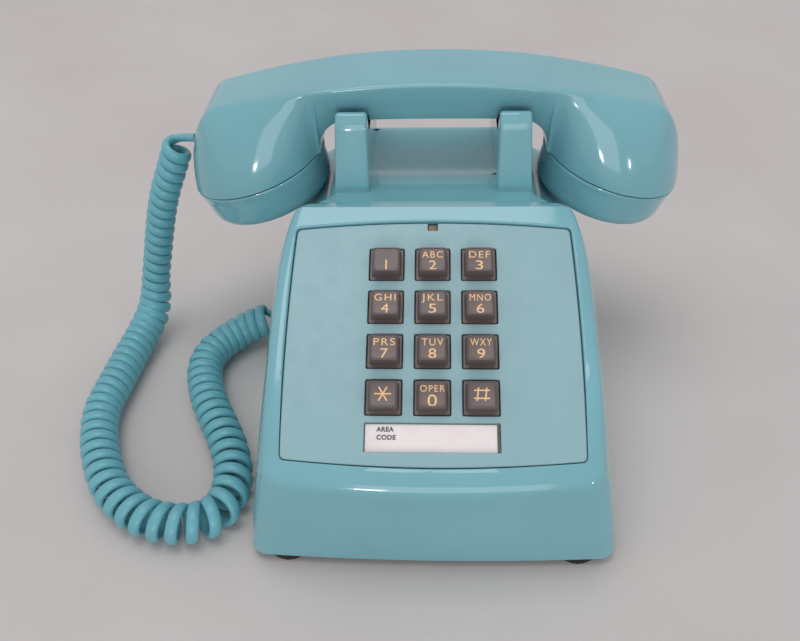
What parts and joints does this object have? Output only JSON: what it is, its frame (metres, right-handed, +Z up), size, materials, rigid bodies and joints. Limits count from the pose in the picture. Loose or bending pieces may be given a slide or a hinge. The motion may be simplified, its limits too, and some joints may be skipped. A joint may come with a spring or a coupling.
{
  "type": "push-button desk telephone",
  "caption": "Push-button desk telephone: sloping key panel, handset lying in a cradle with ears, and a coiled handset cord.",
  "frame": {"origin": "on the table under the middle of the telephone's box, without the cord", "axes": "+X to the user's right along the handset, +Y to the back, +Z up"},
  "size_m": [0.2604, 0.2038, 0.1375],
  "materials": {
    "turquoise_gloss": "gloss",
    "turquoise_cord": "semi-gloss",
    "turquoise_panel": "satin",
    "bronze_latch": "satin",
    "clear_plastic": "polished",
    "card": "paper-like matte",
    "key_brown": "satin",
    "cream_plastic": "satin",
    "circuit_board": "matte",
    "black_plastic": "satin",
    "steel": "zinc plated",
    "brass": "polished",
    "black_rubber": "matte"
  },
  "bodies": {
    "root": {"housing": "turquoise_gloss", "faceplate": "turquoise_panel", "faceplate_latch": "bronze_latch", "card_window": "clear_plastic", "number_card": "card", "dial_frame": "cream_plastic", "dial_circuit_board": "circuit_board", "dial_inductor_left": "black_plastic", "dial_inductor_right": "black_plastic", "base_plate": "steel", "foot_front_left": "black_rubber", "foot_front_right": "black_rubber", "foot_rear_left": "black_rubber", "foot_rear_right": "black_rubber", "housing_screw_left": "steel", "housing_screw_right": "steel", "ringer_frame": "steel", "ringer_coil": "black_plastic", "gong_left": "brass", "gong_right": "brass", "gong_screw_left": "steel", "gong_screw_right": "steel", "network_unit": "black_plastic", "hookswitch_bracket": "steel", "contact_spring_stack": "cream_plastic", "side_jack": "black_plastic", "side_plug": "clear_plastic", "line_jack": "black_plastic", "handset_cord": "turquoise_cord", "cord_tail_handset": "turquoise_cord", "cord_tail_side": "turquoise_cord"},
    "handset": {"handset_handle": "turquoise_gloss", "receiver_cap": "turquoise_gloss", "transmitter_cap": "turquoise_gloss", "receiver_unit": "steel", "transmitter_unit": "steel", "transmitter_cup": "cream_plastic", "handset_jack": "black_plastic", "handset_plug": "clear_plastic"},
    "plunger_left": {"plunger_left": "clear_plastic"},
    "plunger_right": {"plunger_right": "clear_plastic"},
    "hookswitch_lever": {"hookswitch_lever": "steel"},
    "clapper": {"clapper": "brass"},
    "volume_wheel": {"volume_wheel": "black_plastic"},
    "key_1": {"key_1": "key_brown"},
    "key_2": {"key_2": "key_brown"},
    "key_3": {"key_3": "key_brown"},
    "key_4": {"key_4": "key_brown"},
    "key_5": {"key_5": "key_brown"},
    "key_6": {"key_6": "key_brown"},
    "key_7": {"key_7": "key_brown"},
    "key_8": {"key_8": "key_brown"},
    "key_9": {"key_9": "key_brown"},
    "key_star": {"key_star": "key_brown"},
    "key_0": {"key_0": "key_brown"},
    "key_pound": {"key_pound": "key_brown"}
  },
  "joints": [
    {"name": "handset_lift", "type": "slide", "parent": "root", "child": "handset", "axis": [0, 0, 1], "range_m": [0, 0.08]},
    {"name": "plunger_left_slide", "type": "slide", "parent": "root", "child": "plunger_left", "axis": [0, 0, 1], "range_m": [0, 0.005]},
    {"name": "plunger_right_slide", "type": "slide", "parent": "root", "child": "plunger_right", "axis": [0, 0, 1], "range_m": [0, 0.005]},
    {"name": "hookswitch_lever_pivot", "type": "hinge", "parent": "root", "child": "hookswitch_lever", "pos_m": [0, 0.058, 0.0826], "axis": [-1, 0, 0], "range_deg": [0, 14.5]},
    {"name": "clapper_swing", "type": "hinge", "parent": "root", "child": "clapper", "pos_m": [0, 0.03, 0.027], "axis": [0, 0, 1], "range_deg": [-4, 4], "stiffness_Nm_per_rad": 0.002},
    {"name": "volume_wheel_turn", "type": "hinge", "parent": "root", "child": "volume_wheel", "pos_m": [-0.03, -0.022, 0.0106], "axis": [1, 0, 0], "range_deg": [0, 120]},
    {"name": "key_1_press", "type": "slide", "parent": "root", "child": "key_1", "axis": [0, 0.454, -0.891], "range_m": [0, 0.0032], "stiffness_N_per_m": 250, "springref_m": -0.001},
    {"name": "key_2_press", "type": "slide", "parent": "root", "child": "key_2", "axis": [0, 0.454, -0.891], "range_m": [0, 0.0032], "stiffness_N_per_m": 250, "springref_m": -0.001},
    {"name": "key_3_press", "type": "slide", "parent": "root", "child": "key_3", "axis": [0, 0.454, -0.891], "range_m": [0, 0.0032], "stiffness_N_per_m": 250, "springref_m": -0.001},
    {"name": "key_4_press", "type": "slide", "parent": "root", "child": "key_4", "axis": [0, 0.454, -0.891], "range_m": [0, 0.0032], "stiffness_N_per_m": 250, "springref_m": -0.001},
    {"name": "key_5_press", "type": "slide", "parent": "root", "child": "key_5", "axis": [0, 0.454, -0.891], "range_m": [0, 0.0032], "stiffness_N_per_m": 250, "springref_m": -0.001},
    {"name": "key_6_press", "type": "slide", "parent": "root", "child": "key_6", "axis": [0, 0.454, -0.891], "range_m": [0, 0.0032], "stiffness_N_per_m": 250, "springref_m": -0.001},
    {"name": "key_7_press", "type": "slide", "parent": "root", "child": "key_7", "axis": [0, 0.454, -0.891], "range_m": [0, 0.0032], "stiffness_N_per_m": 250, "springref_m": -0.001},
    {"name": "key_8_press", "type": "slide", "parent": "root", "child": "key_8", "axis": [0, 0.454, -0.891], "range_m": [0, 0.0032], "stiffness_N_per_m": 250, "springref_m": -0.001},
    {"name": "key_9_press", "type": "slide", "parent": "root", "child": "key_9", "axis": [0, 0.454, -0.891], "range_m": [0, 0.0032], "stiffness_N_per_m": 250, "springref_m": -0.001},
    {"name": "key_star_press", "type": "slide", "parent": "root", "child": "key_star", "axis": [0, 0.454, -0.891], "range_m": [0, 0.0032], "stiffness_N_per_m": 250, "springref_m": -0.001},
    {"name": "key_0_press", "type": "slide", "parent": "root", "child": "key_0", "axis": [0, 0.454, -0.891], "range_m": [0, 0.0032], "stiffness_N_per_m": 250, "springref_m": -0.001},
    {"name": "key_pound_press", "type": "slide", "parent": "root", "child": "key_pound", "axis": [0, 0.454, -0.891], "range_m": [0, 0.0032], "stiffness_N_per_m": 250, "springref_m": -0.001}
  ],
  "couplings": [
    {"joint": "plunger_left_slide", "follows": "handset_lift", "ratio": 0.0625},
    {"joint": "plunger_right_slide", "follows": "handset_lift", "ratio": 0.0625},
    {"joint": "hookswitch_lever_pivot", "follows": "handset_lift", "rad_per_m": 3.1631}
  ]
}
